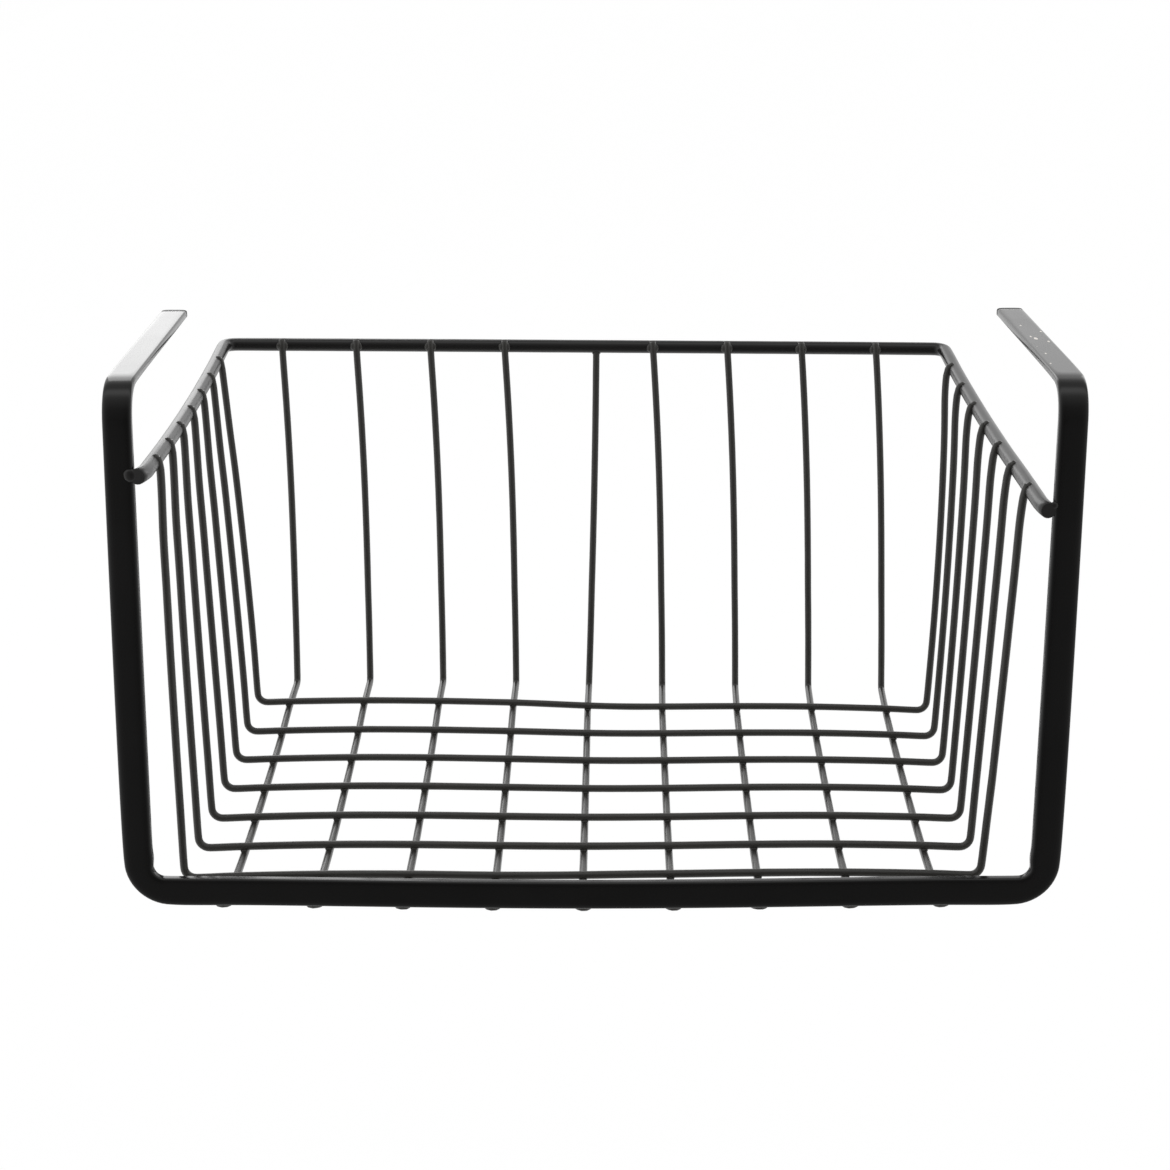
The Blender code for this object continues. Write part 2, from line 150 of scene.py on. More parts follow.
@dataclass(frozen=True)
class BakedEnamel:
    """Black enamel, sprayed on steel and baked to a semi-gloss film.

    It is almost black face on, mirrors pale surroundings at a flat angle, and has the faint
    waviness of a film that flowed before it set.
    """

    name: str
    deep: str = "#070706"
    thin: str = "#0b0a0a"
    smoothest: float = 0.13
    roughest: float = 0.18
    tone_size: float = 30 * MM
    wave_size: float = 6 * MM
    wave_depth: float = 0.006 * MM

    def material(self) -> bpy.types.Material:
        """Return the enamel as a material."""
        material, tree = blank_material(self.name)
        place = add_node(tree, "ShaderNodeTexCoord").outputs["Object"]
        colour, gloss = self.film(tree, place)
        shader = add_node(tree, "ShaderNodeBsdfPrincipled", {"IOR": 1.5, "Metallic": 0.0},
                          {"Base Color": colour, "Roughness": gloss})
        if self.wave_depth:
            wave = add_node(tree, "ShaderNodeTexNoise",
                            {"Scale": 1 / self.wave_size, "Detail": 1.0}, {"Vector": place})
            flow = add_node(tree, "ShaderNodeBump", {"Distance": self.wave_depth},
                            {"Height": wave.outputs["Fac"]})
            tree.links.new(flow.outputs["Normal"], shader.inputs["Normal"])
        add_node(tree, "ShaderNodeOutputMaterial", None, {"Surface": shader.outputs["BSDF"]})
        return material

    def film(self, tree: bpy.types.NodeTree, place: bpy.types.NodeSocket
             ) -> tuple[bpy.types.NodeSocket, bpy.types.NodeSocket]:
        """Add the nodes of the film's tone and gloss, which drift a little.

        Args:
            tree: the material's node tree.
            place: the coordinates.

        Returns:
            The colour and the roughness.
        """
        tone = add_node(tree, "ShaderNodeTexNoise",
                        {"Scale": 1 / self.tone_size, "Detail": 3.0}, {"Vector": place})
        colour = add_node(tree, "ShaderNodeMix",
                          {"data_type": "RGBA", 6: linear(self.deep), 7: linear(self.thin)},
                          {"Factor": tone.outputs["Fac"]}).outputs[2]
        gloss = add_node(tree, "ShaderNodeMapRange",
                         {"From Min": 0.3, "From Max": 0.7,
                          "To Min": self.smoothest, "To Max": self.roughest},
                         {"Value": tone.outputs["Fac"]}).outputs["Result"]
        return colour, gloss


@dataclass(frozen=True)
class Nick:
    """A small chip in the film.

    Its place is how far it is from the arm's tip and how far outboard of the arm's middle,
    and its size is its half width. It is longer than wide, as if scraped along the arm.
    """

    along: float
    across: float
    size: float


@dataclass(frozen=True)
class NickedEnamel(BakedEnamel):
    """The same film with nicks on the right arm that show the pale primer under it."""

    primer: str = "#e4dfd8"
    primer_roughness: float = 0.7
    ragged_size: float = 1.1 * MM
    ragged_depth: float = 0.25 * MM
    nick_stretch: float = 3.0
    nicks: tuple[Nick, ...] = (
        Nick(44.5 * MM, -2.3 * MM, 0.40 * MM), Nick(69.8 * MM, -2.2 * MM, 0.45 * MM),
        Nick(74.3 * MM, -0.8 * MM, 0.80 * MM), Nick(58.5 * MM, 4.2 * MM, 0.45 * MM),
        Nick(81.0 * MM, 3.6 * MM, 0.50 * MM), Nick(91.8 * MM, -3.3 * MM, 0.22 * MM),
        Nick(106.8 * MM, -2.3 * MM, 0.45 * MM), Nick(127.5 * MM, -4.0 * MM, 0.40 * MM))
    arm_tip: Vector = field(default_factory=Vector)
    arm_along: Vector = field(default_factory=lambda: Vector((0, -1, 0)))
    arm_across: Vector = field(default_factory=lambda: Vector((1, 0, 0)))

    def film(self, tree: bpy.types.NodeTree, place: bpy.types.NodeSocket
             ) -> tuple[bpy.types.NodeSocket, bpy.types.NodeSocket]:
        """Add the nodes of the film with its nicks.

        Args:
            tree: the material's node tree.
            place: the coordinates.

        Returns:
            The colour and the roughness.
        """
        colour, gloss = super().film(tree, place)
        ragged = add_node(tree, "ShaderNodeTexNoise",
                          {"Scale": 1 / self.ragged_size, "Detail": 1.0}, {"Vector": place})
        edge = add_node(tree, "ShaderNodeMath",
                        {"operation": "MULTIPLY", 1: self.ragged_depth},
                        {0: ragged.outputs["Fac"]}).outputs[0]
        bare = edge
        for number, nick in enumerate(self.nicks):
            spot = self.arm_tip + self.arm_along * nick.along + self.arm_across * nick.across
            offset = add_node(tree, "ShaderNodeVectorMath", {"operation": "SUBTRACT", 1: spot},
                              {0: place})
            squashed = add_node(tree, "ShaderNodeVectorMath",
                                {"operation": "MULTIPLY", 1: (1, 1 / self.nick_stretch, 1)},
                                {0: offset.outputs[0]})
            away = add_node(tree, "ShaderNodeVectorMath", {"operation": "LENGTH"},
                            {0: squashed.outputs[0]})
            beyond = add_node(tree, "ShaderNodeMath", {"operation": "ADD"},
                              {0: away.outputs["Value"], 1: edge})
            inside = add_node(tree, "ShaderNodeMath",
                              {"operation": "LESS_THAN", 1: nick.size + self.ragged_depth / 2},
                              {0: beyond.outputs[0]}).outputs[0]
            if number:
                inside = add_node(tree, "ShaderNodeMath", {"operation": "MAXIMUM"},
                                  {0: bare, 1: inside}).outputs[0]
            bare = inside
        colour = add_node(tree, "ShaderNodeMix", {"data_type": "RGBA", 7: linear(self.primer)},
                          {"Factor": bare, 6: colour}).outputs[2]
        gloss = add_node(tree, "ShaderNodeMix",
                         {"data_type": "FLOAT", 3: self.primer_roughness},
                         {"Factor": bare, 2: gloss}).outputs[0]
        return colour, gloss


@dataclass(frozen=True)
class MouldedPlastic:
    """Black polythene, moulded: a soft satin with a fine even grain."""

    name: str
    shade: str = "#1c1c1b"
    grain_size: float = 0.4 * MM
    grain_depth: float = 0.006 * MM
    roughness: float = 0.42

    def material(self) -> bpy.types.Material:
        """Return the plastic as a material."""
        material, tree = blank_material(self.name)
        place = add_node(tree, "ShaderNodeTexCoord").outputs["Object"]
        grain = add_node(tree, "ShaderNodeTexNoise",
                         {"Scale": 1 / self.grain_size, "Detail": 2.0}, {"Vector": place})
        relief = add_node(tree, "ShaderNodeBump", {"Distance": self.grain_depth},
                          {"Height": grain.outputs["Fac"]})
        shader = add_node(tree, "ShaderNodeBsdfPrincipled",
                          {"Base Color": linear(self.shade), "Roughness": self.roughness,
                           "IOR": 1.5},
                          {"Normal": relief.outputs["Normal"]})
        add_node(tree, "ShaderNodeOutputMaterial", None, {"Surface": shader.outputs["BSDF"]})
        return material


@dataclass(frozen=True)
class StudioPaper:
    """White background paper, matt: it shows as white and takes a faint shadow."""

    name: str = "studio_paper"
    shade: str = "#f4f4f4"
    glow: float = 0.95

    def material(self) -> bpy.types.Material:
        """Return the paper as a material that is white to the eye and in reflections."""
        material, tree = blank_material(self.name)
        matt = add_node(tree, "ShaderNodeBsdfDiffuse", {"Color": linear(self.shade)})
        light = add_node(tree, "ShaderNodeLightPath")
        mirrored = add_node(tree, "ShaderNodeMath", {"operation": "MAXIMUM"},
                            {0: light.outputs["Is Camera Ray"],
                             1: light.outputs["Is Glossy Ray"]})
        seen = add_node(tree, "ShaderNodeMath", {"operation": "MAXIMUM"},
                        {0: mirrored.outputs[0], 1: light.outputs["Is Transmission Ray"]})
        share = add_node(tree, "ShaderNodeMath", {"operation": "MULTIPLY", 1: self.glow},
                         {0: seen.outputs[0]})
        white = add_node(tree, "ShaderNodeEmission", {"Color": (1, 1, 1, 1), "Strength": 1.0})
        mix = add_node(tree, "ShaderNodeMixShader", None,
                       {0: share.outputs[0], 1: matt.outputs[0], 2: white.outputs[0]})
        add_node(tree, "ShaderNodeOutputMaterial", None, {"Surface": mix.outputs[0]})
        return material


def welded_mesh(node: bpy.types.Object) -> bmesh.types.BMesh:
    """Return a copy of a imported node's mesh with its split corners joined."""
    mesh = bmesh.new()
    mesh.from_mesh(node.data)
    bmesh.ops.remove_doubles(mesh, verts=mesh.verts, dist=SAME_POINT)
    return mesh


def ring_walk(ring: set[bmesh.types.BMVert]) -> list[list[Vector]]:
    """Walk along a swept mesh from one of its rings to the other end.

    Args:
        ring: the corners of the first ring.

    Returns:
        The points of each ring, the rings in order and the points of each sorted by place,
        so that their mean is the same in every run.
    """
    seen: set[bmesh.types.BMVert] = set()
    rings = []
    while ring:
        rings.append(sorted((corner.co.copy() for corner in ring), key=tuple))
        seen |= ring
        ring = {edge.other_vert(corner) for corner in ring for edge in corner.link_edges} - seen
    return rings


def middle_of(points: list[Vector]) -> Vector:
    """Return the mean of some points."""
    return sum(points, Vector((0, 0, 0))) / len(points)


def centreline(node: bpy.types.Object) -> list[Vector]:
    """Find the middle of each ring of a packed wire, from one end to the other.

    Args:
        node: the wire, a round bar with a flat cap at each end.

    Returns:
        The rings' middles in order.
    """
    mesh = welded_mesh(node)
    rims = {corner for edge in mesh.edges if edge.calc_face_angle(0) > CAP_ANGLE
            for corner in edge.verts}
    first = min(rims, key=lambda corner: (round(corner.co.y, 3), corner.co.x))
    reach = max(node.dimensions) / CAP_PART
    ring = {corner for corner in rims if (corner.co - first.co).length < reach}
    middles = [middle_of(points) for points in ring_walk(ring)]
    mesh.free()
    return middles


def smooth_run(points: list[Vector], step: float) -> list[Vector]:
    """Lay a smooth curve through points and return it in even steps.

    Args:
        points: the points that the curve passes, which may carry further values.
        step: the greatest distance between two returned points.

    Returns:
        The curve's points, the given ends among them.
    """
    padded = [2 * points[0] - points[1], *points, 2 * points[-1] - points[-2]]
    run = [points[0].copy()]
    for before, start, end, after in zip(padded, padded[1:], padded[2:], padded[3:]):
        knots = [0.0]
        for near, far in ((before, start), (start, end), (end, after)):
            knots.append(knots[-1] + max(math.sqrt((far - near).length), LEAST_KNOT))
        count = max(1, math.ceil((end - start).length / step - STEP_SLACK))
        for number in range(1, count + 1):
            at = knots[1] + (knots[2] - knots[1]) * number / count
            run.append(spline_point((before, start, end, after), knots, at))
    return run


def spline_point(points: tuple[Vector, ...], knots: list[float], at: float) -> Vector:
    """Return a point of the centripetal curve through four points.

    Args:
        points: the four points; the curve runs between the middle two.
        knots: their four knot values.
        at: a knot value between the middle two.

    Returns:
        The point.
    """
    level = list(points)
    for width in (1, 2, 3):
        spans = []
        for index in range(4 - width):
            low = knots[index] if width < 3 else knots[1]
            high = knots[index + width] if width < 3 else knots[2]
            share = (at - low) / (high - low)
            spans.append(level[index].lerp(level[index + 1], share))
        level = spans
    return level[0]


def sweep(name: str, rings: list[list[Vector]]) -> bpy.types.Mesh:
    """Join rings of points to a closed skin with flat ends.

    Args:
        name: the mesh's name.
        rings: the rings in order, each with its points in order.

    Returns:
        The mesh, smooth along its sides.
    """
    build = bmesh.new()
    loops = [[build.verts.new(spot) for spot in ring] for ring in rings]
    for near, far in zip(loops, loops[1:]):
        for place, corner in enumerate(near):
            beside = (place + 1) % len(near)
            build.faces.new((corner, near[beside], far[beside], far[place])).smooth = True
    build.faces.new(tuple(reversed(loops[0])))
    build.faces.new(tuple(loops[-1]))
    bmesh.ops.recalc_face_normals(build, faces=build.faces)
    result = bpy.data.meshes.new(name)
    build.to_mesh(result)
    build.free()
    return result


def press_end(run: list[Vector], shift: Vector, reach: float) -> None:
    """Bend the last stretch of a run over, as if its end were pressed aside.

    Args:
        run: the run, changed in place.
        shift: how far its last point moves.
        reach: how far from the end the bend begins.
    """
    past = 0.0
    for index in range(len(run) - 1, -1, -1):
        if past > reach:
            break
        step = (run[index] - run[index - 1]).length
        run[index] = run[index] + shift * (1 - past / reach) ** 2
        past += step


@dataclass
class RoundWire:
    """A round steel wire, its cut ends eased by the enamel."""

    radius: float
    sides: int = 16
    end_ease: float = 0.35 * MM
    coat_wave: float = 0.03 * MM
    coat_length: float = 9 * MM

    def mesh(self, name: str, run: list[Vector]) -> bpy.types.Mesh:
        """Build the wire's mesh.

        Args:
            name: the mesh's name.
            run: points close together along the wire.

        Returns:
            A closed tube mesh.
        """
        run = list(run)
        run.insert(1, run[0] + (run[1] - run[0]).normalized() * self.end_ease)
        run.insert(-1, run[-1] + (run[-2] - run[-1]).normalized() * self.end_ease)
        rings = []
        across = (run[1] - run[0]).orthogonal().normalized()
        for index, middle in enumerate(run):
            along = (run[min(index + 1, len(run) - 1)] - run[max(index - 1, 0)]).normalized()
            across = (across - along * across.dot(along)).normalized()
            radius = self.radius + self.coat_wave * noise.noise(middle / self.coat_length)
            if index in (0, len(run) - 1):
                radius -= self.end_ease
            rings.append([middle + Matrix.Rotation(math.tau * side / self.sides, 3, along)
                          @ across * radius for side in range(self.sides)])
        return sweep(name, rings)


@dataclass
class WeldMetal:
    """Beads of weld metal, gathered in one mesh and coated like the wires."""

    name: str
    roughness_size: float = 1.6 * MM
    unevenness: float = 0.10
    build: bmesh.types.BMesh = field(default_factory=bmesh.new)

    def bead(self, centre: Vector, size: Vector, corner_share: float = 0.0) -> None:
        """Add a bead.

        Args:
            centre: its middle.
            size: its half lengths along X, Y and Z.
            corner_share: how far it reaches further out between X and Y.
        """
        made = bmesh.ops.create_icosphere(self.build, subdivisions=2, radius=1.0)
        for corner in made["verts"]:
            spot = corner.co.copy()
            flat = math.hypot(spot.x, spot.y)
            spread = 1 + corner_share * flat * math.sin(2 * math.atan2(spot.y, spot.x)) ** 2
            local = Vector((spot.x * spread * size.x, spot.y * spread * size.y,
                            spot.z * size.z))
            uneven = 1 + self.unevenness * noise.noise((centre + local) / self.roughness_size)
            corner.co = centre + local * uneven

    def piece(self) -> bpy.types.Object:
        """Return the beads as one smooth piece."""
        for face in self.build.faces:
            face.smooth = True
        mesh = bpy.data.meshes.new(self.name)
        self.build.to_mesh(mesh)
        self.build.free()
        return bpy.data.objects.new(self.name, mesh)


@dataclass
class Packed:
    """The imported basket: its nodes, and the box that every piece stays inside."""

    nodes: dict
    low: Vector
    high: Vector

    def place(self, piece: bpy.types.Object, material: bpy.types.Material, slot: Slot,
              *nodes: str) -> None:
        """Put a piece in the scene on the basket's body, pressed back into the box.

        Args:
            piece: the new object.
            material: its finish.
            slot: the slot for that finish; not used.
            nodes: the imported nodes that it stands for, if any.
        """
        for corner in piece.data.vertices:
            for axis in range(3):
                inside = min(max(corner.co[axis], self.low[axis]), self.high[axis])
                corner.co[axis] = inside
        bpy.context.scene.collection.objects.link(piece)
        piece.data.materials.append(material)
        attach(piece, BODY)
        if nodes:
            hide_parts(*nodes)
        log.info("%s: %d faces, %s", piece.name, len(piece.data.polygons), material.name)


@dataclass(frozen=True)
class Section:
    """A place along the flat tube: its middle, its axes and its size."""

    middle: Vector
    across: Vector
    face: Vector
    width: float
    depth: float

    def ring(self, sides: int, fullness: float, shrink: float = 0.0) -> list[Vector]:
        """Return points round the section, an oval pressed nearly flat on its faces.

        Args:
            sides: how many points.
            fullness: 2 gives an ellipse, more gives flatter faces.
            shrink: how far it is drawn in all round.

        Returns:
            The points in order.
        """
        points = []
        for side in range(sides):
            turn = math.tau * (side + 0.5) / sides
            along_across = math.copysign(abs(math.cos(turn)) ** (2 / fullness), math.cos(turn))
            along_face = math.copysign(abs(math.sin(turn)) ** (2 / fullness), math.sin(turn))
            points.append(self.middle + self.across * along_across * (self.width / 2 - shrink)
                          + self.face * along_face * (self.depth / 2 - shrink))
        return points


@dataclass
class FrontFrame:
    """The bent flat tube with its arms, and the plug in each arm."""

    packed: Packed
    sides: int = 40
    fullness: float = 5.0
    step: float = 4 * MM
    plug_edge: float = 1.2 * MM
    plug_steps: int = 5
    plug_start: float = 0.3 * MM
    # How many sections in from a tip its direction is taken.
    tip_stops: int = 8
    edge_band: float = 0.05 * MM
    # The inner edge has a small buckle above each bottom bend.
    kink_height: float = 27.5 * MM
    kink_length: float = 3 * MM
    kink_depth: float = 0.4 * MM
    plastic: MouldedPlastic = MouldedPlastic("moulded_polythene")

    def outer_rings(self) -> list[list[Vector]]:
        """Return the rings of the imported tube's outer skin, from the left arm's end."""
        node = self.packed.nodes["front_frame"]
        mesh = welded_mesh(node)
        middle_y = sum(corner.co.y for corner in mesh.verts) / len(mesh.verts)
        ends = [face for face in mesh.faces
                if face.normal.y > math.cos(CAP_ANGLE)
                and face.calc_center_median().y > middle_y + node.dimensions.y / 2]
        bmesh.ops.delete(mesh, geom=ends, context="FACES")
        rims = {corner for corner in mesh.verts if corner.is_boundary and corner.co.x < 0}
        middle = middle_of(sorted((corner.co for corner in rims), key=tuple))
        start = max(rims, key=lambda corner: (corner.co - middle).length)
        ring = {start}
        fresh = {start}
        while fresh:
            fresh = {edge.other_vert(corner) for corner in fresh for edge in corner.link_edges
                     if edge.is_boundary} - ring
            ring |= fresh
        rings = ring_walk(ring)
        mesh.free()
        return rings

    def sections(self) -> list[Section]:
        """Return the tube's smooth run of sections, from the left arm's end to the right's."""
        rings = self.outer_rings()
        middles = [middle_of(ring) for ring in rings]
        stops = []
        face = Vector((0, 0, 1))
        for index, (ring, middle) in enumerate(zip(rings, middles)):
            ahead = self.heading(middles, index)
            face = (face - ahead * face.dot(ahead)).normalized()
            outwards = ahead.cross(face)
            depth = 2 * max((spot - middle).dot(face) for spot in ring)
            stops.append(Vector((*self.edge(ring, outwards), *self.edge(ring, -outwards),
                                 depth)))
        run = smooth_run(stops, self.step)
        edges = [(Vector(stop[:3]), Vector(stop[3:6])) for stop in run]
        middles = [(outer + inner) / 2 for outer, inner in edges]
        sections = []
        for index, (stop, (outer, inner)) in enumerate(zip(run, edges)):
            across = (outer - inner).normalized()
            face = across.cross(self.heading(middles, index)).normalized()
            swell = self.kink(inner.z)
            sections.append(Section(middles[index] - across * swell / 2, across, face,
                                    (outer - inner).length + swell, stop[6]))
        return sections

    def edge(self, ring: list[Vector], outwards: Vector) -> Vector:
        """Return the middle of a ring's edge in one direction."""
        reach = max(spot.dot(outwards) for spot in ring) - self.edge_band
        return middle_of([spot for spot in ring if spot.dot(outwards) > reach])

    def kink(self, height: float) -> float:
        """Return how far the buckle swells the inner edge at a height."""
        past = (height - self.packed.low.z - self.kink_height) / self.kink_length
        return self.kink_depth * math.exp(-past ** 2)

    @staticmethod
    def heading(middles: list[Vector], index: int) -> Vector:
        """Return the direction of a run at one of its points."""
        before = middles[max(index - 1, 0)]
        after = middles[min(index + 1, len(middles) - 1)]
        return (after - before).normalized()

    def plug(self, end: Section, away: Vector, reach: float, name: str) -> bpy.types.Object:
        """Return the rounded head of a plug.

        Args:
            end: the tube's last section.
            away: the direction out of the tube.
            reach: how far the head's front stands from the tube's end.
            name: the piece's name.

        Returns:
            The head.
        """
        starts = [(self.plug_start, 0.0)]
        for number in range(self.plug_steps + 1):
            turn = math.pi / 2 * number / self.plug_steps
            starts.append((reach - self.plug_edge * (1 - math.sin(turn)),
                           self.plug_edge * (1 - math.cos(turn))))
        rings = []
        for along, shrink in starts:
            section = Section(end.middle + away * along, end.across, end.face, end.width,
                              end.depth)
            rings.append(section.ring(self.sides, self.fullness, shrink))
        return bpy.data.objects.new(name, sweep(name, rings))

    def dress(self) -> None:
        """Build the tube and the plugs."""
        sections = self.sections()
        rings = [section.ring(self.sides, self.fullness) for section in sections]
        tube = bpy.data.objects.new("bent_tube", sweep("bent_tube", rings))
        right = sections[-1]
        left_inner, right_inner = sections[self.tip_stops], sections[-1 - self.tip_stops]
        back = (right.middle - right_inner.middle).normalized()
        tip_y = self.packed.nodes["arm_plug_right"].bound_box[6][1]
        tip = right.middle + back * (tip_y - right.middle.y) + right.face * right.depth / 2
        enamel = NickedEnamel("baked_enamel_on_tube", arm_tip=tip, arm_along=-back,
                              arm_across=Vector((back.y, -back.x, 0)))
        self.packed.place(tube, enamel.material(), Slot.TUBE, "front_frame")
        plastic = self.plastic.material()
        for side, end, inner in ((Side.LEFT, sections[0], left_inner),
                                 (Side.RIGHT, right, right_inner)):
            word = side.name.lower()
            away = (end.middle - inner.middle).normalized()
            node = self.packed.nodes[f"arm_plug_{word}"]
            reach = max(corner.co.y for corner in node.data.vertices) - end.middle.y
            plug = self.plug(end, away, reach / away.y, f"end_plug_{word}")
            self.packed.place(plug, plastic, Slot.PLUG, f"arm_plug_{word}")


@dataclass
class Rim:
    """The thick wire round the mouth, with its ends welded to the uprights."""

    packed: Packed
    radius: float = 3.35 * MM
    step: float = 4 * MM
    # Baked enamel on round wire is satin: its pale side reflection is soft, not sharp.
    # Its base colour is lighter than the tube's: painted reflection, standing in for the pale
    # floor mirrored along the rim's lower side.
    enamel: BakedEnamel = BakedEnamel("baked_enamel_on_rim", deep="#0f0e0e", thin="#151413",
                                      smoothest=0.27, roughest=0.32, wave_depth=0.001 * MM)
    end_reach: float = 14 * MM
    left_shift: float = -1.9 * MM
    right_shift: float = 1.3 * MM
    left_bead: Vector = field(default_factory=lambda: Vector((2.9, 1.1, 2.9)) * MM)
    left_bead_off: Vector = field(default_factory=lambda: Vector((-3.0, 0.8, 0.3)) * MM)
    right_bead: Vector = field(default_factory=lambda: Vector((1.8, 0.9, 1.7)) * MM)
    right_bead_off: Vector = field(default_factory=lambda: Vector((2.3, 1.0, 1.9)) * MM)
    run: list[Vector] = field(default_factory=list)

    def dress(self) -> None:
        """Build the rim and the beads at its ends."""
        material = self.enamel.material()
        middles = centreline(self.packed.nodes["rim_wire"])
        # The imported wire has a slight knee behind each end, which the real one rounds off.
        self.run = smooth_run([middles[0], *middles[2:-2], middles[-1]], self.step)
        if self.run[0].x > self.run[-1].x:
            self.run.reverse()
        press_end(self.run, Vector((self.right_shift, 0, 0)), self.end_reach)
        self.run.reverse()
        press_end(self.run, Vector((self.left_shift, 0, 0)), self.end_reach)
        self.run.reverse()
        wire = RoundWire(self.radius, sides=24)
        piece = bpy.data.objects.new("round_rim", wire.mesh("round_rim", self.run))
        self.packed.place(piece, material, Slot.RIM, "rim_wire")
        beads = WeldMetal("rim_end_welds")
        beads.bead(self.run[0] + self.left_bead_off, self.left_bead)
        beads.bead(self.run[-1] + self.right_bead_off, self.right_bead)
        self.packed.place(beads.piece(), material, Slot.RIM)

    def nearest(self, place: Vector) -> Vector:
        """Return the point of the rim's centreline nearest to a place."""
        return nearest_point(self.run, place)


def nearest_point(run: list[Vector], place: Vector) -> Vector:
    """Return the point of a run nearest to a place."""
    best = run[0]
    for start, end in zip(run, run[1:]):
        span = end - start
        share = min(max((place - start).dot(span) / span.length_squared, 0), 1)
        spot = start + span * share
        if (spot - place).length < (best - place).length:
            best = spot
    return best


@dataclass
class WireBody:
    """The cross wires and the lengthwise wires, and the welds that hold them."""

    packed: Packed
    rim: Rim
    radius: float = 1.76 * MM
    step: float = 3.5 * MM
    cross_count: int = 7
    long_count: int = 9
    stray_wire: int = 4
    stray_part: int = 3
    # The wires get a lighter base colour than the tube: painted sheen, standing in for the soft
    # highlights that light puts along the round wires.
    enamel: BakedEnamel = BakedEnamel("baked_enamel_on_wire", deep="#272624", thin="#302f2c",
                                      smoothest=0.26, roughest=0.32, wave_depth=0.0)
    crossing_size: Vector = field(default_factory=lambda: Vector((1.6, 1.6, 0.95)) * MM)
    crossing_shift: Vector = field(default_factory=lambda: Vector((0, -0.1, 0)) * MM)
    crossing_corner_share: float = 0.42
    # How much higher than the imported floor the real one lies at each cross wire, left and
    # right of its middle. In front of the first one the difference fades out.
    floor_lifts: tuple[tuple[float, float], ...] = (
        (-0.9 * MM, -0.05 * MM), (0.2 * MM, 0.3 * MM), (0.3 * MM, 0.2 * MM),
        (0.4 * MM, 0.1 * MM),
        (1.0 * MM, 0.5 * MM), (1.3 * MM, 0.6 * MM), (1.3 * MM, -0.3 * MM))
    lift_blend: tuple[float, float] = (-50 * MM, 25 * MM)
    lift_fade: float = 60 * MM
    front_fade: float = 10 * MM
    depths: list[float] = field(default_factory=list)
    # Behind the last cross wire the real lengthwise wires climb, and their bend stands this
    # much further up and to the right.
    bend_rise: float = 2.0 * MM
    bend_shift: float = 0.5 * MM
    # The real wires turn up at the back in a tighter bend, which starts this far before the
    # corner, and whose packed counterpart reaches this far from it.
    tight_reach: float = 3.5 * MM
    packed_reach: float = 11 * MM
    tight_steps: int = 5
    # Each side wire leans out towards its top and hooks over a little into the rim.
    hook: tuple[float, float] = (0.7 * MM, 1.0 * MM)
    hook_reach: float = 8 * MM
    side_drop: float = 0.9 * MM
    lean: tuple[float, float] = (2.1 * MM, 1.4 * MM)
    lean_reach: tuple[float, float] = (60 * MM, 22 * MM)
    first_right_shift: float = 0.65 * MM
    side_cap: Vector = field(default_factory=lambda: Vector((1.7, 1.9, 1.4)) * MM)
    side_cap_share: float = 0.30
    side_cap_rise: float = 2.5 * MM
    back_press: float = 1.6 * MM
    back_reach: float = 15 * MM
    back_cap: Vector = field(default_factory=lambda: Vector((3.3, 1.2, 2.6)) * MM)
    back_cap_ahead: float = 3.5 * MM
    back_tip: Vector = field(default_factory=lambda: Vector((2.0, 1.5, 0.6)) * MM)
    back_tip_ahead: float = 1.5 * MM
    # The back wires lean left at their tops and sway right halfway up.
    back_lean: float = 0.8 * MM
    back_lean_reach: float = 90 * MM
    back_sway: float = 0.6 * MM
    stray_cap: Vector = field(default_factory=lambda: Vector((2.4, 2.0, 1.2)) * MM)
    bar_bead: Vector = field(default_factory=lambda: Vector((3.7, 1.7, 1.5)) * MM)
    bar_bead_ahead: float = 0.9 * MM
    # How many points of a lengthwise wire, counted from its top, are surely off the floor.
    wall_points: int = 18
    bar_bead_shifts: tuple[float, ...] = (-1.3 * MM, -0.4 * MM, -0.7 * MM, -0.3 * MM, 0.3 * MM,
                                          0.9 * MM, -0.6 * MM, 0.2 * MM, 0.6 * MM)

    def dress(self) -> None:
        """Build every wire and every weld."""
        material = self.enamel.material()
        for number in range(self.cross_count):
            middles = centreline(self.packed.nodes[f"cross_wire_{number + 1}"])
            self.depths.append(min(middles, key=lambda spot: spot.z).y)
        cross_runs = [self.cross_wire(number, material) for number in range(self.cross_count)]
        long_runs = [self.long_wire(index, material) for index in range(self.long_count)]
        self.weld_crossings(cross_runs, long_runs, material)
        self.weld_rim(cross_runs, long_runs, material)
        self.weld_bar(long_runs, material)

    def lift(self, x: float, y: float) -> float:
        """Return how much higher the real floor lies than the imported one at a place."""
        span = self.depths[-1] - self.depths[0]
        place = min(max((y - self.depths[0]) / span, 0), 1) * (self.cross_count - 1)
        index = min(int(place), self.cross_count - 2)
        share = min(max((x - self.lift_blend[0]) / (self.lift_blend[1] - self.lift_blend[0]),
                        0), 1)
        across = share * share * (3 - 2 * share)
        near, far = ((left + (right - left) * across)
                     for left, right in self.floor_lifts[index:index + 2])
        front = min(max(1 - (self.depths[0] - y) / self.front_fade, 0), 1)
        return (near + (far - near) * (place - index)) * front

    def raise_floor(self, run: list[Vector]) -> None:
        """Lift a run, in place, by the real floor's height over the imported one.

        Args:
            run: a wire's centreline; its part well above the floor stays where it is.
        """
        foot = min(spot.z for spot in run)
        for spot in run:
            fade = min(max(1 - (spot.z - foot) / self.lift_fade, 0), 1)
            spot.z += self.lift(spot.x, spot.y) * fade

    def raise_bend(self, run: list[Vector]) -> None:
        """Move a lengthwise wire's rear bend, in place, to where the real one stands.

        Args:
            run: the wire's centreline; its ends stay where they are.
        """
        foot = min(spot.z for spot in run)
        wall = max(spot.y for spot in run)
        for spot in run:
            behind = min(max((spot.y - self.depths[-1]) / (wall - self.depths[-1]), 0), 1)
            share = behind * min(max(1 - (spot.z - foot) / self.lift_fade, 0), 1)
            spot.x += self.bend_shift * share
            spot.z += self.bend_rise * share

